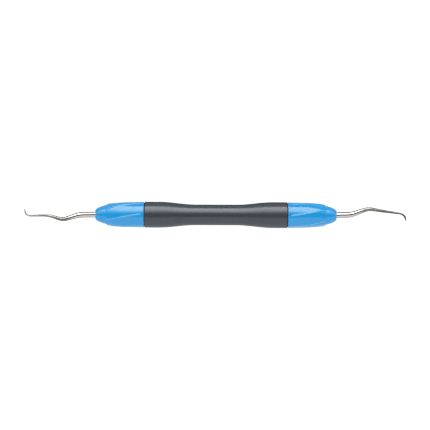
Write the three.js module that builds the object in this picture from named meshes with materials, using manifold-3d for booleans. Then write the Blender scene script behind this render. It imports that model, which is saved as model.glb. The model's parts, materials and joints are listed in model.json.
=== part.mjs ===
// Double-ended dental hand scaler.
// Units are millimetres. X runs along the instrument, Z is up, and the handle lies on its side.
// The origin is the middle of the handle, on the handle's centre line.
import * as THREE from 'three';
import { mergeVertices } from 'three/addons/utils/BufferGeometryUtils.js';
import Module from 'manifold-3d';

const wasm = await Module();
wasm.setup();

// ---- driving dimensions ----

const GAP = 0.3; // clearance between neighbouring pieces
const SIDES = 24; // flats round the sleeve; one of them faces straight down
const PIN_SIDES = 12;
const OVERCUT = 1; // how far a cutting tool stands out past the face it cuts

const HANDLE_HALF = 54.25; // middle of the handle to the end of a nose
const NOSE_LENGTH = 21.85; // one blue nose, base to end
const SLEEVE_HALF = 32.1;
const SLEEVE_FLAT_RADIUS = 5.8; // from the axis to the flats of the thick ends
const WAIST_RADIUS = 4.62;
const WAIST_HALF = 9.0; // half of the straight part of the waist
const WAIST_BLEND = 16.8; // length of the curve from waist to thick end
const SLEEVE_CHAMFER = 0.45;

const TUBE_RADIUS = 3.2;
const TUBE_BORE = 2.6;
const TUBE_INSET = 9.0; // end of a nose back to the end of the core tube

const NOSE_BASE_RADIUS = 5.78;
const NOSE_TAPER = 0.023; // loss of radius for each millimetre from the base
const NOSE_END_RADIUS = 1.72; // blunt end round the shank
const NOSE_ROUND_LENGTH = 13; // length over which the end rounds in
const NOSE_ROUND_POWER = 1.5;
const NOSE_BASE_EDGE = 0.25;
const NOSE_SIDES = 36;
const END_RING_SPACING = 1.8; // power with which the rings crowd towards the rounded end
const RIDGES = 6;
const RIDGE_START = 5.6; // from the end of the nose
const RIDGE_END = 20.4;
const RIDGE_HEIGHT = 0.25; // above the middle of the facets, where the ridges start
const RIDGE_HEIGHT_AT_BASE = 0.02;
const RIDGE_FADE = 0.7; // power with which the ridges sink towards the base
const RIDGE_FRONT = 0.4; // length of the rounded step where a ridge starts
const TWIST_RATE = 1.1; // degrees for each millimetre, at the base
const TWIST_GAIN = 0.059; // how much faster the ridges turn towards the end, per millimetre
const TWIST_DATUM = 20; // from the end of the nose, where a ridge lies at the roll below
const RIDGE_ROLL = 31.6; // degrees above the horizontal

const SHANK_RADIUS = 1.25;
const SHANK_SIDES = 12;
const TANG_LENGTH = 20;
const TANG_BEVEL = 0.3;
const BLADE_RADIUS = 0.35; // where the shank ends and the blade starts
const BLADE_LENGTH = 3.4;
const BLADE_GRIND = 1.2; // length over which the round shank turns three-sided
const BLADE_FACE = 0.75; // distance of a blade's faces, as a share of its mean radius
const POINT_RADIUS = 0.08;
const POINT_POWER = 1.5;
const TAPER_START = 5.8; // from the end of the nose
const TAPER_END = 29.5;
const TAPER_POWER = 1.25;
const BEND_TILT = 25; // degrees between the plane of the bends and the horizontal
const SHANK_SHIFT = 0.3; // the left tip stands out this much more than the mean, the right less

const HOLDER_RADIUS = 2.3;
const HOLDER_END = 21.5; // from the end of the nose to the inner end of the holder
const HOLDER_FRONT = 5.3;
const HOLDER_LAND = 1.0; // length of the full-width land at the holder's front
const HOLDER_RELIEF = 0.25;
const FLANGE_THICKNESS = 1.0;
const PIN_RADIUS = 0.4;
const PIN_LENGTH = 4.2;
const PIN_CHAMFER = 0.12;
const PIN_HOLE_RADIUS = 0.65;
const PIN_PLACE = 14; // from the end of the nose
const SEAL_PLACE = 3.1; // from the end of the nose
const SEAL_RADIUS = 2.1; // to the middle of the ring's section
const SEAL_SECTION = 0.5;
const GROOVE_SIDE = 0.2; // room beside the ring in its groove
const GROOVE_DEPTH = 0.25; // room round the ring in its groove
const WEB_BORE = 2.0; // bore between the groove and the holder's seat

// ---- materials ----

const finish = (color, roughness, metalness) =>
  new THREE.MeshStandardMaterial({ color, roughness, metalness });

const polishedSteel = () => finish(0xb9b7b2, 0.22, 1);
const turnedSteel = () => finish(0xa3a5a8, 0.4, 1);
const bluePlastic = () => finish(0x3f9fe3, 0.38, 0);
const greySilicone = () => finish(0x4a5056, 0.55, 0);
const blackRubber = () => finish(0x25282b, 0.8, 0);

// ---- solids ----

// A closed mesh as a manifold solid.
function solid(geometry) {
  const plain = geometry.clone();
  plain.deleteAttribute('normal');
  plain.deleteAttribute('uv');
  const merged = mergeVertices(plain, 1e-5);
  return new wasm.Manifold(new wasm.Mesh({
    numProp: 3,
    vertProperties: Float32Array.from(merged.attributes.position.array),
    triVerts: Uint32Array.from(merged.index.array),
  }));
}

function geometryOf(manifold) {
  const mesh = manifold.getMesh();
  const geometry = new THREE.BufferGeometry();
  geometry.setAttribute('position', new THREE.BufferAttribute(mesh.vertProperties, 3));
  geometry.setIndex(new THREE.BufferAttribute(mesh.triVerts, 1));
  geometry.computeVertexNormals();
  return geometry;
}

const cut = (geometry, ...tools) =>
  geometryOf(tools.reduce((rest, tool) => rest.subtract(solid(tool)), solid(geometry)));

// An outline of [x, radius] points turned about the X axis, with a flat facing down.
function turned(outline, sides = SIDES) {
  const points = outline.map(([x, radius]) => new THREE.Vector2(radius, x));
  return new THREE.LatheGeometry(points, sides, Math.PI / sides).rotateZ(-Math.PI / 2);
}

// A round tube's outline: outer wall from one end to the other, back along the bore.
const tubeOutline = (from, to, outer, bore) =>
  [[from, bore], [from, outer], [to, outer], [to, bore], [from, bore]];

const rodOutline = (from, to, radius, chamfer = 0) => [
  [from, 0],
  [from, radius - chamfer],
  [from + chamfer, radius],
  [to - chamfer, radius],
  [to, radius - chamfer],
  [to, 0],
].filter(([x, r], i, all) => i === 0 || x !== all[i - 1][0] || r !== all[i - 1][1]);

// Rings of points joined into one closed skin. Each ring is a list of Vector3 of the same length.
function skin(rings) {
  const count = rings[0].length;
  const middle = (ring) =>
    ring.reduce((sum, point) => sum.add(point), new THREE.Vector3()).divideScalar(count);
  const vertices = [...rings.flat(), middle(rings[0]), middle(rings.at(-1))];
  const first = rings.length * count;
  const last = first + 1;
  const index = [];
  for (let side = 0; side < count; side += 1) {
    const next = (side + 1) % count;
    for (let ring = 0; ring < rings.length - 1; ring += 1) {
      const [a, b] = [ring * count + side, ring * count + next];
      index.push(a, a + count, b, b, a + count, b + count);
    }
    index.push(first, side, next);
    index.push(last, first - count + next, first - count + side);
  }
  const geometry = new THREE.BufferGeometry().setFromPoints(vertices);
  geometry.setIndex(index);
  geometry.computeVertexNormals();
  return geometry;
}

const radians = THREE.MathUtils.degToRad;
const { lerp, smoothstep } = THREE.MathUtils;
const steps = (from, to, count) =>
  Array.from({ length: count + 1 }, (_, i) => lerp(from, to, i / count));

// ---- grip sleeve ----

// Distance from the axis to the sleeve's flats, at x from the middle.
function sleeveFlat(x) {
  const t = THREE.MathUtils.clamp((Math.abs(x) - WAIST_HALF) / WAIST_BLEND, 0, 1);
  return lerp(WAIST_RADIUS, SLEEVE_FLAT_RADIUS, (1 - Math.cos(Math.PI * t)) / 2);
}

function gripSleeve() {
  const corner = 1 / Math.cos(Math.PI / SIDES); // from a flat's distance to its corners'
  const bore = TUBE_RADIUS + GAP;
  const curve = steps(WAIST_HALF, WAIST_HALF + WAIST_BLEND, 9);
  const half = curve.map((x) => [x, sleeveFlat(x) * corner]);
  half.push([SLEEVE_HALF - SLEEVE_CHAMFER, SLEEVE_FLAT_RADIUS * corner]);
  half.push([SLEEVE_HALF, (SLEEVE_FLAT_RADIUS - SLEEVE_CHAMFER) * corner]);
  half.push([SLEEVE_HALF, bore]);
  const mirrored = half.map(([x, radius]) => [-x, radius]).reverse();
  return turned([...mirrored, ...half, [-SLEEVE_HALF, bore]]);
}

// ---- noses ----

// Radius of the round nose under the ridges, at s from its end.
function roundNose(s) {
  const straight = NOSE_BASE_RADIUS - NOSE_TAPER * (NOSE_LENGTH - s);
  const left = Math.max(0, 1 - s / NOSE_ROUND_LENGTH);
  return lerp(NOSE_END_RADIUS, straight, Math.sqrt(1 - left ** NOSE_ROUND_POWER));
}

// How far a ridge's crest stands above the middle of the facets, at s from the end.
function ridgeHeight(s) {
  const along = THREE.MathUtils.clamp((s - RIDGE_START) / (RIDGE_END - RIDGE_START), 0, 1);
  const height = lerp(RIDGE_HEIGHT, RIDGE_HEIGHT_AT_BASE, along ** RIDGE_FADE);
  return height * smoothstep(s, RIDGE_START - RIDGE_FRONT, RIDGE_START);
}

// Radius of the ridged nose at s from its end; turn is 0 on a ridge and 1 on the next one.
function noseRadius(s, turn) {
  const fromMiddle = 2 * Math.abs(turn - Math.floor(turn) - 0.5);
  return roundNose(s) + ridgeHeight(s) * fromMiddle ** 2;
}

// Roll of the ridges about the axis, in degrees, at s from the end.
function ridgeRoll(s) {
  const back = TWIST_DATUM - s;
  return RIDGE_ROLL - TWIST_RATE * back - TWIST_GAIN * back ** 2;
}

// What is cut from a nose: the shank's hole, the seal's groove, the holder's seat, the tube's seat.
function noseBores() {
  const groove = SEAL_SECTION + GROOVE_SIDE;
  const grooveRadius = SEAL_RADIUS + SEAL_SECTION + GROOVE_DEPTH;
  const flangeFront = TUBE_INSET - GAP - FLANGE_THICKNESS;
  return [
    rodOutline(-SEAL_PLACE, OVERCUT, SHANK_RADIUS + GAP),
    rodOutline(-SEAL_PLACE - groove, -SEAL_PLACE + groove, grooveRadius),
    rodOutline(-HOLDER_FRONT, -SEAL_PLACE, WEB_BORE),
    rodOutline(-TUBE_INSET, -HOLDER_FRONT + GAP, HOLDER_RADIUS + GAP),
    rodOutline(-NOSE_LENGTH - OVERCUT, -flangeFront + GAP, TUBE_RADIUS + GAP),
  ].map((outline) => turned(outline));
}

// A nose in its own frame: the end at x = 0, the base towards -X.
function nose() {
  const rounded = RIDGE_START - RIDGE_FRONT;
  const places = [
    ...steps(0, 1, 8).map((t) => rounded * t ** END_RING_SPACING),
    ...steps(RIDGE_START, RIDGE_END, 10),
    NOSE_LENGTH - NOSE_BASE_EDGE,
    NOSE_LENGTH,
  ];
  const rings = places.map((s) => Array.from({ length: NOSE_SIDES }, (_, i) => {
    const edge = s === NOSE_LENGTH ? NOSE_BASE_EDGE : 0;
    const radius = noseRadius(s, (i * RIDGES) / NOSE_SIDES) - edge;
    const roll = (i / NOSE_SIDES) * 2 * Math.PI + radians(ridgeRoll(s));
    return new THREE.Vector3(-s, radius * Math.cos(roll), radius * Math.sin(roll));
  }));
  return cut(skin(rings), ...noseBores());
}

// ---- steel tips ----

// Corners of the bent shank: distance from the end of the nose, then how far it lies to each side.
const SHANK_CORNERS = [
  { at: [-TANG_LENGTH, 0, 0], round: 0 },
  { at: [-2.0, 0, 0], round: 0.5 },
  { at: [2.0, 0.17, -0.1], round: 1.0 },
  { at: [6.9, 0.24, -0.15], round: 2.2 },
  { at: [14.4, 3.06, -0.72], round: 2.2 },
  { at: [20.5, 1.39, -2.03], round: 2.6 },
  { at: [30.55, 0.81, 0.05], round: 2.0 },
  { at: [31.65, -2.57, 0.1], round: 0 },
];

// A path of straight runs with a curve at each corner.
function bentPath(corners) {
  const path = new THREE.CurvePath();
  const points = corners.map(({ at }) => new THREE.Vector3(...at));
  let start = points[0];
  for (let i = 1; i < points.length; i += 1) {
    const corner = points[i];
    const back = points[i - 1].clone().sub(corner).setLength(corners[i].round);
    const before = corner.clone().add(back);
    path.add(new THREE.LineCurve3(start, before));
    start = corner;
    if (i < points.length - 1) {
      const ahead = points[i + 1].clone().sub(corner).setLength(corners[i].round);
      start = corner.clone().add(ahead);
      path.add(new THREE.QuadraticBezierCurve3(before, corner, start));
    }
  }
  return path;
}

function shankRadius(s) {
  const t = THREE.MathUtils.clamp((s - TAPER_START) / (TAPER_END - TAPER_START), 0, 1);
  return lerp(BLADE_RADIUS, SHANK_RADIUS, (1 - t) ** TAPER_POWER);
}

// Reach of a three-sided section whose flat face is towards angle 0.
function bladeSection(angle) {
  const third = 2 * Math.PI / 3;
  const facing = [-third, 0, third].map((turn) => Math.cos(angle - turn));
  return BLADE_FACE / Math.max(...facing);
}

// The section of a tip at a place along its path, as a ring of points.
function tipRing(path, place, shift) {
  const length = path.getLength();
  const blade = length - BLADE_LENGTH;
  const centre = path.getPointAt(place / length);
  const along = path.getTangentAt(place / length);
  const side = new THREE.Vector3(0, 0, 1).projectOnPlane(along).normalize();
  const inner = new THREE.Vector3().crossVectors(along, side);
  const sharp = smoothstep(place, blade, blade + BLADE_GRIND);
  const toPoint = Math.max(0, (place - blade) / BLADE_LENGTH) ** POINT_POWER;
  const bevel = place === 0 ? TANG_BEVEL : 0;
  const radius = lerp(shankRadius(centre.x - shift), POINT_RADIUS, toPoint) - bevel;
  return Array.from({ length: SHANK_SIDES }, (_, i) => {
    const angle = (i / SHANK_SIDES) * 2 * Math.PI;
    const reach = radius * lerp(1, bladeSection(angle), sharp);
    return centre.clone()
      .addScaledVector(inner, reach * Math.cos(angle))
      .addScaledVector(side, reach * Math.sin(angle));
  });
}

// A tip in the frame of its nose. The two tips are mirror images, one of each hand, so that the
// pair reaches both sides of a tooth.
function tip(hand, shift) {
  const path = bentPath(SHANK_CORNERS.map(({ at: [s, bend, lean], round }) => (
    { at: [s < 0 ? s : s + shift, bend, hand * lean], round }
  )));
  const length = path.getLength();
  const blade = length - BLADE_LENGTH;
  const places = [
    0,
    TANG_BEVEL,
    ...steps(TANG_LENGTH + SHANK_CORNERS[1].at[0], blade, 34),
    ...steps(blade, length, 10).slice(1),
  ];
  const rings = places.map((place) => tipRing(path, place, shift));
  return cut(skin(rings).rotateX(radians(BEND_TILT)), pinHole(SHANK_RADIUS));
}

// ---- inner pieces ----

// A pin across the axis, standing along Y before it is placed.
function crossPin(radius, length, chamfer = 0) {
  const half = length / 2;
  return turned(rodOutline(-half, half, radius, chamfer), PIN_SIDES).rotateZ(Math.PI / 2);
}

// The lock pin's hole through a bar of the given radius.
const pinHole = (through) =>
  crossPin(PIN_HOLE_RADIUS, 2 * (through + OVERCUT)).translate(-PIN_PLACE, 0, 0);

const coreTube = () => {
  const half = HANDLE_HALF - TUBE_INSET;
  return turned(tubeOutline(-half, half, TUBE_RADIUS, TUBE_BORE));
};

// A holder in the frame of its nose: a grooved front, a flange against the tube, a long spigot.
function tipHolder() {
  const flangeBack = TUBE_INSET - GAP;
  const flangeFront = flangeBack - FLANGE_THICKNESS;
  const relieved = HOLDER_RADIUS - HOLDER_RELIEF;
  const bore = SHANK_RADIUS + GAP;
  const outline = [
    [-HOLDER_END, bore],
    [-HOLDER_END, relieved],
    [-HOLDER_END + HOLDER_RELIEF, HOLDER_RADIUS],
    [-flangeBack, HOLDER_RADIUS],
    [-flangeBack, TUBE_RADIUS],
    [-flangeFront, TUBE_RADIUS],
    [-flangeFront, relieved],
    [-HOLDER_FRONT - HOLDER_LAND, relieved],
    [-HOLDER_FRONT - HOLDER_LAND, HOLDER_RADIUS],
    [-HOLDER_FRONT - HOLDER_RELIEF, HOLDER_RADIUS],
    [-HOLDER_FRONT, relieved],
    [-HOLDER_FRONT, bore],
    [-HOLDER_END, bore],
  ];
  return cut(turned(outline), pinHole(HOLDER_RADIUS));
}

const lockPin = () => crossPin(PIN_RADIUS, PIN_LENGTH, PIN_CHAMFER).translate(-PIN_PLACE, 0, 0);

const sealRing = () =>
  new THREE.TorusGeometry(SEAL_RADIUS, SEAL_SECTION, 10, SIDES)
    .rotateY(Math.PI / 2)
    .translate(-SEAL_PLACE, 0, 0);

// ---- assembly ----

function piece(name, geometry, material) {
  const mesh = new THREE.Mesh(geometry, material);
  mesh.name = name;
  return mesh;
}

// Everything at one end of the handle, in a frame whose origin is the end of the nose.
function end(name, hand, shift) {
  const group = new THREE.Group();
  group.add(
    piece(`${name}_tip`, tip(hand, shift), polishedSteel()),
    piece(`${name}_cone`, nose(), bluePlastic()),
    piece(`${name}_tip_holder`, tipHolder(), turnedSteel()),
    piece(`${name}_lock_pin`, lockPin(), turnedSteel()),
    piece(`${name}_seal_ring`, sealRing(), blackRubber()),
  );
  return group;
}

const left = end('left', -1, SHANK_SHIFT);
left.position.x = -HANDLE_HALF;
left.rotation.z = Math.PI;
const right = end('right', 1, -SHANK_SHIFT);
right.position.x = HANDLE_HALF;

const scaler = new THREE.Group();
scaler.add(piece('grip_sleeve', gripSleeve(), greySilicone()));
scaler.add(piece('core_tube', coreTube(), turnedSteel()));
scaler.add(left, right);

export default scaler;
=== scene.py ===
"""A double-ended dental hand scaler, lying on a pale table and seen from above."""
import json
import math

import bmesh
import bpy
import numpy as np
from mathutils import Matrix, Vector


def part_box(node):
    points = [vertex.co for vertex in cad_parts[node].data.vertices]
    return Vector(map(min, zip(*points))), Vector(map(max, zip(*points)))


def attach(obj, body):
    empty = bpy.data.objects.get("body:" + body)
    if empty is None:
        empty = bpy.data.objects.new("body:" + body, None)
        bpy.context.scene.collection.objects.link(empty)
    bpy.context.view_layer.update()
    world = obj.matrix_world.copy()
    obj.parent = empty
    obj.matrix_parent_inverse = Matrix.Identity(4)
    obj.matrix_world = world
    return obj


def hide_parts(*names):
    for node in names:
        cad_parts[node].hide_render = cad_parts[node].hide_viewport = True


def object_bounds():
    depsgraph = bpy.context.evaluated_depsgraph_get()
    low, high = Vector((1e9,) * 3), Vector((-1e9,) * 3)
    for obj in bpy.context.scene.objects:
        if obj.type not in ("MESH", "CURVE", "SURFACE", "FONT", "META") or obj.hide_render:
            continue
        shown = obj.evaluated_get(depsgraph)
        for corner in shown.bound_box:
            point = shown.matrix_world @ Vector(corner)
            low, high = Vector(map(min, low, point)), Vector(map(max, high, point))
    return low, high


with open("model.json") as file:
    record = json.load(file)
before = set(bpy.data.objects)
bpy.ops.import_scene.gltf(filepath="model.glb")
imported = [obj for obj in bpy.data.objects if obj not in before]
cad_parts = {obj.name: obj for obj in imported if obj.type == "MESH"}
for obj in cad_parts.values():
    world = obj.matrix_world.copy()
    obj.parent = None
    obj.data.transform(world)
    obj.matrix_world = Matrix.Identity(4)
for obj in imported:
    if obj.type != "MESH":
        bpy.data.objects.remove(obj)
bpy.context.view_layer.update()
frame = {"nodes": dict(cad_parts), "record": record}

MM = 0.001

# ---- places and sizes taken from the frame ----

SLEEVE_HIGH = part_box("grip_sleeve")[1]
NOSE_LOW, NOSE_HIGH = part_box("right_cone")
HANDLE_HALF = NOSE_HIGH.x
NOSE_LENGTH = NOSE_HIGH.x - NOSE_LOW.x
SLEEVE_HALF = SLEEVE_HIGH.x
SLEEVE_RADIUS = SLEEVE_HIGH.z
BORE_CLEARANCE = 0.1 * MM
HANDLE_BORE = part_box("core_tube")[1].z + BORE_CLEARANCE

# ---- sleeve ----

WAIST_RADIUS = 4.62 * MM
WAIST_HALF = 9.0 * MM
WAIST_BLEND = 16.8 * MM
SLEEVE_EDGE = 0.3 * MM
SLEEVE_EDGE_STEPS = 8
SLEEVE_STEPS = 70
SLEEVE_AROUND = 240
SLEEVE_BORE_RINGS = (0.1, 0.4, 0.7)  # shares of the way from an end to the middle
COLLAR_DEPTH = 0.4 * MM
COLLAR_DROP = 0.05 * MM
COLLAR_GAP = 0.02 * MM
COLLAR_END = NOSE_LOW.x - COLLAR_GAP

# ---- noses ----

NOSE_BASE_RADIUS = 5.78 * MM
NOSE_TAPER = 0.023
NOSE_END_RADIUS = 1.72 * MM
NOSE_ROUND_LENGTH = 13 * MM
NOSE_ROUND_POWER = 1.5
NOSE_EDGE = 0.12 * MM
NOSE_RIM = ((0.08, 0.5), (0.3, 0.85), (0.6, 1), (1, 1))  # down and along, as shares of the edge
NOSE_FRONT_SHARE = 0.67  # squared, the share of the rounded length that has closer rings
NOSE_FRONT_STEPS = 44
NOSE_BACK_STEPS = 72
NOSE_BORE_RINGS = (1, 0.8, 0.5, 0.42)  # shares of the nose's length
NOSE_POCKET = 2.4 * MM
SHANK_BORE = 1.30 * MM
SHANK_BORE_DEPTH = 2.2 * MM
SHANK_BORE_RINGS = (SHANK_BORE_DEPTH, 1.0 * MM, 0.2 * MM)
BORE_MOUTH = ((0.06 * MM, 0.04 * MM), (0, 0.14 * MM))  # how deep, and how much wider
RIDGES = 6
RIDGE_POINTS = 44
RIDGE_CROWDING = 0.55  # how closely the mesh points gather at the ridges
RIDGE_START = 5.6 * MM
RIDGE_END = 20.6 * MM
RIDGE_HEIGHT = 0.25 * MM
RIDGE_HEIGHT_AT_BASE = 0.02 * MM
RIDGE_FADE = 0.7
RIDGE_FRONT = 0.9 * MM
BEAD_HEIGHT = 0.12 * MM
BEAD_WIDTH = 0.22 * MM
BEAD_END = 0.5 * MM
# The ridges' turn round the axis, in degrees: at the datum, and what it loses towards the front.
TWIST_DATUM = 20 * MM
RIDGE_ROLL = 31.6
TWIST_RATE = 1.1 / MM
TWIST_GAIN = 0.059 / MM ** 2

# ---- steel tips ----

SHANK_RADIUS = 1.25 * MM
BLADE_RADIUS = 0.35 * MM
BLADE_LENGTH = 3.4 * MM
BLADE_GRIND = 1.2 * MM  # length over which the round shank turns three-sided
BLADE_FACE = 0.75  # distance from the middle to each of the three faces, as a share of the radius
POINT_RADIUS = 0.06 * MM
POINT_POWER = 3
TAPER_START = 5.8 * MM
TAPER_END = 29.5 * MM
TAPER_POWER = 1.25
BEND_TILT = math.radians(25)
SHANK_SHIFT = 0.3 * MM  # the left tip's bends lie this much farther out, the right's nearer
DULL_START = 8.5 * MM
DULL_FULL = 12.5 * MM
WORN_START = 17 * MM
WORN_FULL = 21 * MM
TANG_SHOWN = 4.0 * MM  # the visual tips stop here inside the noses, where nothing shows them
TIP_STEP = 0.16 * MM
TIP_AROUND = 48
# In mm: distance from the end of the nose, offsets in and across the plane of the bends, and the
# rounding of the corner.
SHANK_CORNERS = (
    ((-2.0, 0, 0), 0.5),
    ((2.0, 0.17, -0.1), 1.0),
    ((6.9, 0.24, -0.15), 2.2),
    ((14.4, 3.06, -0.72), 2.2),
    ((20.5, 1.39, -2.03), 2.6),
    ((30.55, 0.81, 0.05), 2.0),
    ((31.65, -2.57, 0.1), 0),
)

# ---- camera ----

PICTURE_WIDTH = 193.5 * MM
CAMERA_HEIGHT = 0.9
CAMERA_CENTRE = (-0.43 * MM, -0.03 * MM)
CAMERA_ROLL = math.radians(0.23)
CAMERA_SENSOR = 36
CAMERA_SEES = (0.05, 20)  # nearest and farthest, in metres


def add_camera():
    data = bpy.data.cameras.new("camera")
    data.sensor_width = CAMERA_SENSOR
    data.lens = CAMERA_SENSOR * CAMERA_HEIGHT / PICTURE_WIDTH
    data.clip_start, data.clip_end = CAMERA_SEES
    camera = bpy.data.objects.new("camera", data)
    camera.location = (*CAMERA_CENTRE, CAMERA_HEIGHT)
    camera.rotation_euler.z = CAMERA_ROLL
    bpy.context.scene.collection.objects.link(camera)
    bpy.context.scene.camera = camera


# ---- mesh helpers ----

def smoothstep(x, low, high):
    t = np.clip((x - low) / (high - low), 0, 1)
    return t * t * (3 - 2 * t)


def lerp(a, b, t):
    return a + (b - a) * t


def skin(name, rings, loop=False):
    """A closed mesh through rings of points. With loop the last ring joins the first; without it
    both ends are capped."""
    rings = np.asarray(rings, float)
    count, around = rings.shape[:2]
    vertices = rings.reshape(-1, 3).tolist()
    faces = []
    for i in range(count if loop else count - 1):
        here, there = i * around, (i + 1) % count * around
        for j in range(around):
            k = (j + 1) % around
            faces.append((here + j, here + k, there + k, there + j))
    if not loop:
        for ring, first in ((0, 0), (count - 1, (count - 1) * around)):
            vertices.append(rings[ring].mean(0).tolist())
            centre = len(vertices) - 1
            faces += [(first + j, first + (j + 1) % around, centre) for j in range(around)]
    mesh = bpy.data.meshes.new(name)
    mesh.from_pydata(vertices, [], faces)
    work = bmesh.new()
    work.from_mesh(mesh)
    bmesh.ops.recalc_face_normals(work, faces=work.faces)
    for face in work.faces:
        face.smooth = True
    work.to_mesh(mesh)
    work.free()
    piece = bpy.data.objects.new(name, mesh)
    bpy.context.scene.collection.objects.link(piece)
    return piece


def turned_rings(outline, around):
    """Rings about the X axis from an outline of (x, radius)."""
    angles = np.arange(around) / around * 2 * math.pi
    return [
        np.stack([np.full(around, x), r * np.cos(angles), r * np.sin(angles)], 1)
        for x, r in outline
    ]


def rounded_corner(x, radius, size, count):
    """Points on a quarter circle about (x, radius), from the outside round to the end face."""
    return [
        (x + size * math.cos(a), radius + size * math.sin(a))
        for a in np.linspace(math.pi / 2, 0, count)
    ]


def settle(piece, node, material):
    """Puts a finished piece in the frame in place of a CAD node."""
    piece.data.materials.append(material)
    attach(piece, "root")
    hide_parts(node)


# ---- materials ----

def add_node(tree, kind, inputs=None, **settings):
    """A shader node, with a value or a link for each of the inputs given."""
    node = tree.nodes.new("ShaderNode" + kind)
    for key, value in settings.items():
        setattr(node, key, value)
    for key, value in (inputs or {}).items():
        if isinstance(value, bpy.types.NodeSocket):
            tree.links.new(value, node.inputs[key])
        else:
            node.inputs[key].default_value = value
    return node


class Nodes:
    """A material with one Principled shader, and short calls for the nodes that feed it."""

    def __init__(self, name, **values):
        self.material = bpy.data.materials.new(name)
        self.material.use_nodes = True
        self.tree = self.material.node_tree
        self.shader = self.tree.nodes["Principled BSDF"]
        for socket, value in values.items():
            self.shader.inputs[socket.replace("_", " ")].default_value = value

    def add(self, kind, inputs=None, **settings):
        return add_node(self.tree, kind, inputs, **settings)

    def feed(self, socket, value):
        self.tree.links.new(value, self.shader.inputs[socket])

    def place(self, scale=(1, 1, 1)):
        """Object coordinates, stretched by scale."""
        coordinates = self.add("TexCoord").outputs["Object"]
        return self.add("Mapping", {"Vector": coordinates, "Scale": scale}).outputs["Vector"]

    def noise(self, scale, detail=3, roughness=0.5, stretch=(1, 1, 1)):
        inputs = {"Vector": self.place(stretch), "Scale": scale, "Detail": detail,
                  "Roughness": roughness}
        return self.add("TexNoise", inputs).outputs["Fac"]

    def spread(self, value, low, high, source=(0.3, 0.7)):
        """A value mapped to low and high, from a noise's middle range if no source is given."""
        inputs = {"Value": value, "From Min": source[0], "From Max": source[1],
                  "To Min": low, "To Max": high}
        return self.add("MapRange", inputs).outputs["Result"]

    def blend(self, factor, a, b):
        """A colour between a and b."""
        return self.add("Mix", {0: factor, 6: a, 7: b}, data_type="RGBA").outputs[2]

    def mix(self, factor, a, b):
        """A number between a and b."""
        return self.add("Mix", {0: factor, 2: a, 3: b}, data_type="FLOAT").outputs[0]

    def bump(self, height, distance):
        return self.add("Bump", {"Height": height, "Distance": distance}).outputs["Normal"]


def silicone():
    """Dark grey moulded silicone: a fine grain, faint mottling, and gloss varied by wear."""
    n = Nodes("grey_silicone")
    dark, light = (0.037, 0.049, 0.059, 1), (0.043, 0.056, 0.067, 1)
    mottle = n.spread(n.noise(260, 4, 0.6), 0, 1)
    n.feed("Base Color", n.blend(mottle, dark, light))
    n.feed("Roughness", n.spread(n.noise(90, 2), 0.25, 0.31))
    n.feed("Normal", n.bump(n.noise(5200, 2, 0.6), 0.006 * MM))
    return n.material


def blue_plastic():
    """Sky blue moulded plastic, with its ridges rubbed smooth and a pale painted highlight along
    them.
    """
    n = Nodes("blue_plastic", Specular_Tint=(1, 0.86, 0.25, 1), Specular_IOR_Level=0.74,
              Sheen_Weight=0.9, Sheen_Roughness=0.3)
    # the third colour is a painted highlight for the ridge crests
    dark, light, painted_ridge_highlight = (0.001, 0.298, 0.715, 1), (0.003, 0.316, 0.745, 1), (0.10, 0.48, 0.84, 1)
    mottle = n.spread(n.noise(300, 3), 0, 1)
    body = n.blend(mottle, dark, light)
    crest = n.add("Attribute", attribute_name="crest").outputs["Fac"]
    patchiness = n.spread(n.noise(1400, 3), 0.35, 1.0)
    wear_and_painted_light = n.add("Math", {0: crest, 1: patchiness}, operation="MULTIPLY").outputs[0]
    # the crests are painted pale as a highlight, broken up by noise; their lower roughness is
    # real rubbing
    n.feed("Base Color", n.blend(wear_and_painted_light, body, painted_ridge_highlight))
    n.feed("Roughness", n.spread(wear_and_painted_light, 0.18, 0.15, (0, 1)))
    n.feed("Normal", n.bump(n.noise(3000, 2), 0.0005 * MM))
    return n.material


def polished_steel():
    """Stainless steel: the shank polished, the bends ground dull, the working ends worn. The left
    and the right tip differ in how dark they are there, as painted shade for how the light falls
    on each: the right working end darker, the left bends darker."""
    n = Nodes("polished_steel", Metallic=1.0, Specular_Tint=(0.15, 0.15, 0.15, 1))
    tone = n.spread(n.noise(400, 3), 0, 1)
    polished = n.blend(tone, (0.54, 0.525, 0.50, 1), (0.60, 0.585, 0.56, 1))
    along = n.add("SeparateXYZ", {0: n.place()}).outputs["X"]
    out = n.add("Math", {0: along}, operation="ABSOLUTE").outputs[0]
    right = n.spread(along, 0, 1, (-HANDLE_HALF, HANDLE_HALF))
    # painted shade: the right tip's working end is darker than the left's
    wear_and_painted_light = n.blend(right, (0.31, 0.30, 0.285, 1), (0.12, 0.115, 0.105, 1))
    working = n.spread(out, 0, 1, (HANDLE_HALF + WORN_START, HANDLE_HALF + WORN_FULL))
    # painted shade: the left tip's bends are darker than the right's
    bends = n.blend(right, (0.22, 0.215, 0.20, 1), (0.32, 0.31, 0.295, 1))
    bends = n.blend(tone, bends, (0.25, 0.24, 0.225, 1))
    ground = n.spread(out, 0, 1, (HANDLE_HALF + DULL_START, HANDLE_HALF + DULL_FULL))
    n.feed("Base Color", n.blend(ground, polished, n.blend(working, bends, wear_and_painted_light)))
    shine = n.spread(n.noise(900, 3), 0.05, 0.09)
    satin = n.spread(n.noise(900, 3), 0.42, 0.50)
    n.feed("Roughness", n.mix(ground, shine, satin))
    n.feed("Normal", n.bump(n.noise(1800, 3, 0.6, (6, 1, 1)), 0.0007 * MM))
    return n.material


def turned_steel():
    """Lathe-turned stainless steel inside the handle: fine rings round the axis."""
    n = Nodes("turned_steel", Metallic=1.0)
    tone = n.spread(n.noise(700, 3), 0, 1)
    n.feed("Base Color", n.blend(tone, (0.40, 0.41, 0.42, 1), (0.50, 0.51, 0.52, 1)))
    n.feed("Roughness", n.spread(n.noise(1200, 2), 0.30, 0.42))
    n.feed("Normal", n.bump(n.noise(3000, 2, 0.5, (8, 0.2, 0.2)), 0.004 * MM))
    return n.material


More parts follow.
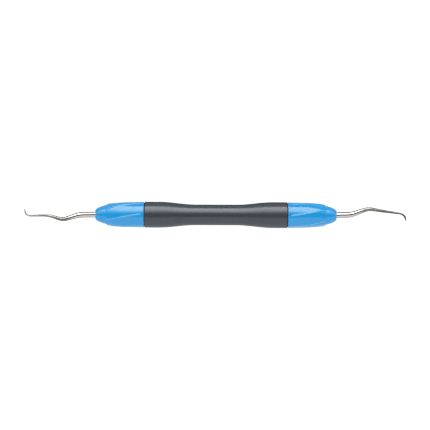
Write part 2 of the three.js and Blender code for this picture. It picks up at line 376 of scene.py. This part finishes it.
def black_rubber():
    """Matt black rubber of the seal rings."""
    n = Nodes("black_rubber")
    tone = n.spread(n.noise(1500, 3), 0, 1)
    n.feed("Base Color", n.blend(tone, (0.014, 0.015, 0.017, 1), (0.024, 0.025, 0.028, 1)))
    n.feed("Roughness", n.spread(n.noise(900, 2), 0.65, 0.85))
    n.feed("Normal", n.bump(n.noise(6000, 2), 0.006 * MM))
    return n.material


# ---- sleeve ----

def sleeve_radius(x):
    """A level waist, and a cosine curve from it to each thick end."""
    t = min(max((abs(x) - WAIST_HALF) / WAIST_BLEND, 0), 1)
    return lerp(WAIST_RADIUS, SLEEVE_RADIUS, (1 - math.cos(math.pi * t)) / 2)


def make_sleeve():
    """The waisted grip. A low collar at each end closes the gap to the nose."""
    edge, bore = SLEEVE_EDGE, HANDLE_BORE
    straight = SLEEVE_HALF - edge
    collar = SLEEVE_RADIUS - COLLAR_DEPTH
    half = [(x, sleeve_radius(x)) for x in np.linspace(0, straight, SLEEVE_STEPS)[1:-1]]
    half += rounded_corner(straight, SLEEVE_RADIUS - edge, edge, SLEEVE_EDGE_STEPS)
    half += [
        (SLEEVE_HALF, collar),
        (COLLAR_END, collar - COLLAR_DROP),
        (COLLAR_END, bore + edge / 2),
        (SLEEVE_HALF, bore),
    ]
    half += [(lerp(straight, 0, share), bore) for share in SLEEVE_BORE_RINGS]
    outline = [(-x, r) for x, r in reversed(half)] + [(0, WAIST_RADIUS)] + half + [(0, bore)]
    return skin("grip", turned_rings(outline, SLEEVE_AROUND), loop=True)


# ---- noses ----

def round_nose(s):
    """Radius at s from the nose's end, without ridges: a slight taper with a rounded front."""
    straight = NOSE_BASE_RADIUS - NOSE_TAPER * (NOSE_LENGTH - s)
    left = max(0, 1 - s / NOSE_ROUND_LENGTH)
    return lerp(NOSE_END_RADIUS, straight, math.sqrt(1 - left ** NOSE_ROUND_POWER))


def ridge_roll(s):
    """How far the ridges have turned at s."""
    back = TWIST_DATUM - s
    return math.radians(RIDGE_ROLL - TWIST_RATE * back - TWIST_GAIN * back ** 2)


def ridge_height(s):
    """Height of the ridges at s, most near the front."""
    along = min(max((s - RIDGE_START) / (RIDGE_END - RIDGE_START), 0), 1)
    height = lerp(RIDGE_HEIGHT, RIDGE_HEIGHT_AT_BASE, along ** RIDGE_FADE)
    return height * float(smoothstep(s, RIDGE_START - RIDGE_FRONT, RIDGE_START))


def bead(s, turn, radius):
    """Share of the bead's full height, at s along and at turn, in ridges, round the nose."""
    apart = (turn - np.round(turn)) * 2 * math.pi / RIDGES * radius
    ends = smoothstep(s, RIDGE_START - RIDGE_FRONT, RIDGE_START)
    ends = ends * (1 - smoothstep(s, RIDGE_END - BEAD_END, RIDGE_END))
    return np.exp(-((apart / BEAD_WIDTH) ** 2)) * ends


def make_nose(side):
    """A nose: its skin runs from the shank hole over the ridges to the base and back inside."""
    around = RIDGES * RIDGE_POINTS
    even = np.arange(around) / around * RIDGES
    turn = even - RIDGE_CROWDING * np.sin(2 * math.pi * even) / (2 * math.pi)
    edge = NOSE_EDGE
    front = NOSE_ROUND_LENGTH * np.linspace(0, NOSE_FRONT_SHARE, NOSE_FRONT_STEPS) ** 2
    back = np.linspace(front[-1], NOSE_LENGTH - edge, NOSE_BACK_STEPS)[1:]
    rings, crests = [], []

    def ring(s, radius, crest=0.0):
        roll = turn * 2 * math.pi / RIDGES + ridge_roll(min(s, TWIST_DATUM))
        y, z = radius * np.cos(roll), radius * np.sin(roll)
        rings.append(np.stack([np.full(around, -s), y, z], 1))
        crests.append(crest * np.ones(around))

    for s in SHANK_BORE_RINGS:
        ring(s, SHANK_BORE)
    for s, wider in BORE_MOUTH:
        ring(s, SHANK_BORE + wider)
    for s in [*front, *back]:
        from_middle = 2 * np.abs(turn - np.floor(turn) - 0.5)
        smooth = round_nose(s)
        shape = bead(s, turn, smooth)
        ring(s, smooth + ridge_height(s) * from_middle ** 2 + BEAD_HEIGHT * shape, shape)
    base = np.hypot(rings[-1][:, 1], rings[-1][:, 2])
    for drop, along in NOSE_RIM:
        ring(NOSE_LENGTH - edge + along * edge, base - drop * edge)
    for share in NOSE_BORE_RINGS:
        ring(NOSE_LENGTH * share, HANDLE_BORE)
    ring(SHANK_BORE_DEPTH, NOSE_POCKET)
    rings = np.asarray(rings)
    if side == "left":
        rings[..., :2] *= -1
    rings[..., 0] += HANDLE_HALF if side == "right" else -HANDLE_HALF
    piece = skin(f"{side}_nose", rings, loop=True)
    # the bead's shape, which the blue plastic uses to paint a pale highlight along the ridges
    attribute = piece.data.attributes.new("crest", "FLOAT", "POINT")
    attribute.data.foreach_set("value", np.concatenate(crests).astype(np.float32))
    return piece


# ---- steel tips ----

def bent_path(corners, step):
    """Points along straight runs with a curve at each corner, about one step apart."""
    points = [Vector(at) for at, _ in corners]
    path = []

    def run(function, length):
        count = max(2, round(length / step))
        path.extend(function(i / count) for i in range(count))

    start = points[0]
    for i in range(1, len(points)):
        corner, size = points[i], corners[i][1]
        before = corner + (points[i - 1] - corner).normalized() * size
        run(lambda t, a=start, b=before: a.lerp(b, t), (before - start).length)
        start = corner
        if i < len(points) - 1:
            start = corner + (points[i + 1] - corner).normalized() * size
            run(
                lambda t, a=before, b=corner, c=start: a.lerp(b, t).lerp(b.lerp(c, t), t),
                2 * size,
            )
    path.append(start)
    return path


def shank_radius(s):
    """Radius at s from the nose's end: level, then tapering to the blade."""
    t = min(max((s - TAPER_START) / (TAPER_END - TAPER_START), 0), 1)
    return lerp(BLADE_RADIUS, SHANK_RADIUS, (1 - t) ** TAPER_POWER)


def blade_section(angles):
    """A three-sided outline with a flat face towards angle 0 and plain corners."""
    third = 2 * math.pi / 3
    facing = np.max([np.cos(angles - k * third) for k in (-1, 0, 1)], 0)
    return BLADE_FACE / facing


def make_tip(side):
    """A tip: round rings along the bent path, which turn three-sided on the blade."""
    hand, shift = (1, -SHANK_SHIFT) if side == "right" else (-1, SHANK_SHIFT)
    corners = [((-TANG_SHOWN, 0, 0), 0)]
    for (s, bend, lean), size in SHANK_CORNERS:
        corners.append(((s * MM + shift, bend * MM, hand * lean * MM), size * MM))
    path = bent_path(corners, TIP_STEP)
    lengths = np.cumsum([0] + [(b - a).length for a, b in zip(path, path[1:])])
    blade = lengths[-1] - BLADE_LENGTH
    angles = np.arange(TIP_AROUND) / TIP_AROUND * 2 * math.pi
    rings = []
    for i, centre in enumerate(path):
        along = (path[min(i + 1, len(path) - 1)] - path[max(i - 1, 0)]).normalized()
        across = Vector((0, 0, 1))
        across = (across - along * across.dot(along)).normalized()
        inner = along.cross(across)
        sharp = float(smoothstep(lengths[i], blade, blade + BLADE_GRIND))
        point = max(0, (lengths[i] - blade) / BLADE_LENGTH) ** POINT_POWER
        radius = lerp(shank_radius(centre.x - shift), POINT_RADIUS, point)
        reach = radius * lerp(1, blade_section(angles), sharp)
        ring = (
            np.array(centre)
            + np.outer(reach * np.cos(angles), inner)
            + np.outer(reach * np.sin(angles), across)
        )
        rings.append(ring)
    rings = np.asarray(rings)
    y, z = rings[..., 1].copy(), rings[..., 2].copy()
    rings[..., 1] = y * math.cos(BEND_TILT) - z * math.sin(BEND_TILT)
    rings[..., 2] = y * math.sin(BEND_TILT) + z * math.cos(BEND_TILT)
    if side == "left":
        rings[..., :2] *= -1
    rings[..., 0] += HANDLE_HALF if side == "right" else -HANDLE_HALF
    return skin(f"{side}_shank", rings)


# ---- room ----

FLOOR_HALF = 4.0
FLOOR_GAP = 0.01 * MM
FLOOR_GLOW = 0.95
# What a reflection sees round the X axis: degrees from straight up towards +Y, and brightness. A
# white tent in front, the dark camera overhead, a long softbox behind and a dim card below it.
REFLECTED = (
    (-180, 0.6), (-110, 0.88), (-60, 1.08), (-28, 1.13), (-21, 0.01), (8, 0.01), (17, 0.28),
    (28, 1.9), (38, 4.7), (60, 6.2), (76, 7.0), (80, 0.1), (92, 0.15), (104, 0.45), (116, 0.55),
    (126, 0.1), (179, 0.15),
)
BRIGHTEST = 7.0  # the scale of the colour ramp, whose own values stop at 1
SOFTBOX_FADE = (0.15, 0.75)  # sideways, as a share of the direction's X
SOFTBOX_ENDS = 0.1  # what is left of the softbox past the fade
TENT = 1.0
TENT_BEHIND = 1.5  # what matt surfaces see straight behind, where the softbox lights the tent
TENT_BEHIND_START = 0.3  # the direction's Y at which it starts to brighten
PIXEL_FILTER = 1.25  # in pixels
HIGHLIGHT_CLAMP = 2.0  # so that the softbox in the steel doesn't spill over its dark lines


def add_floor():
    """A pale table. It glows, so it shows next to no shadow, and reflections don't see it."""
    mesh = bpy.data.meshes.new("floor")
    half, z = FLOOR_HALF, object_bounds()[0].z - FLOOR_GAP
    corners = [(-half, -half, z), (half, -half, z), (half, half, z), (-half, half, z)]
    mesh.from_pydata(corners, [], [(0, 1, 2, 3)])
    floor = bpy.data.objects.new("floor", mesh)
    bpy.context.scene.collection.objects.link(floor)
    n = Nodes("pale_table", Base_Color=(0.1, 0.1, 0.1, 1), Roughness=1.0, Specular_IOR_Level=0.0,
              Emission_Color=(1, 1, 1, 1), Emission_Strength=FLOOR_GLOW)
    mesh.materials.append(n.material)
    floor.visible_glossy = False


def add_world():
    """A white tent all round, in which reflections also see the softbox and the dark parts."""
    world = bpy.data.worlds.new("studio")
    bpy.context.scene.world = world
    world.use_nodes = True
    tree = world.node_tree
    world.cycles.sampling_method = "NONE"  # reflections see another pattern than matt surfaces
    background = tree.nodes["Background"]
    background.inputs["Color"].default_value = (1, 1, 1, 1)

    def math_node(operation, *values):
        return add_node(tree, "Math", dict(enumerate(values)), operation=operation).outputs[0]

    def spread(value, source, result, **settings):
        inputs = {"Value": value, "From Min": source[0], "From Max": source[1],
                  "To Min": result[0], "To Max": result[1]}
        return add_node(tree, "MapRange", inputs, **settings).outputs[0]

    direction = add_node(tree, "TexCoord").outputs["Generated"]
    x, y, z = add_node(tree, "SeparateXYZ", {0: direction}).outputs
    angle = math_node("ARCTAN2", y, z)
    ramp = tree.nodes.new("ShaderNodeValToRGB")
    stops = ramp.color_ramp.elements
    for i, (degrees, brightness) in enumerate(REFLECTED):
        stop = stops[i] if i < len(stops) else stops.new(1)
        stop.position = (degrees + 180) / 360
        stop.color = (brightness / BRIGHTEST,) * 3 + (1,)
    tree.links.new(spread(angle, (-math.pi, math.pi), (0, 1)), ramp.inputs["Fac"])
    pattern = math_node("MULTIPLY", ramp.outputs["Color"], BRIGHTEST)
    tent = math_node("MINIMUM", pattern, TENT)
    softbox = math_node("SUBTRACT", pattern, tent)
    aside = math_node("ABSOLUTE", x)
    fade = spread(aside, SOFTBOX_FADE, (1, SOFTBOX_ENDS), interpolation_type="SMOOTHSTEP")
    reflected = math_node("MULTIPLY_ADD", softbox, fade, tent)

    matt = spread(y, (TENT_BEHIND_START, 1), (TENT, TENT_BEHIND))
    is_glossy = add_node(tree, "LightPath").outputs["Is Glossy Ray"]
    strength = add_node(tree, "Mix", {0: is_glossy, 2: matt, 3: reflected}, data_type="FLOAT")
    tree.links.new(strength.outputs[0], background.inputs["Strength"])


def add_lights():
    add_world()
    bpy.context.scene.view_settings.view_transform = "Standard"
    bpy.context.scene.cycles.filter_width = PIXEL_FILTER
    bpy.context.scene.cycles.sample_clamp_direct = HIGHLIGHT_CLAMP


# ---- build ----

add_camera()
add_lights()

settle(make_sleeve(), "grip_sleeve", silicone())
plastic, steel = blue_plastic(), polished_steel()
for side in ("left", "right"):
    settle(make_nose(side), f"{side}_cone", plastic)
    settle(make_tip(side), f"{side}_tip", steel)

inner_finish = {"turned_steel": turned_steel(), "black_rubber": black_rubber()}
for row in frame["record"]["subparts"]:
    if row["material_slot"] in inner_finish:
        node = frame["nodes"][row["node"]]
        node.data.materials.clear()
        node.data.materials.append(inner_finish[row["material_slot"]])

add_floor()
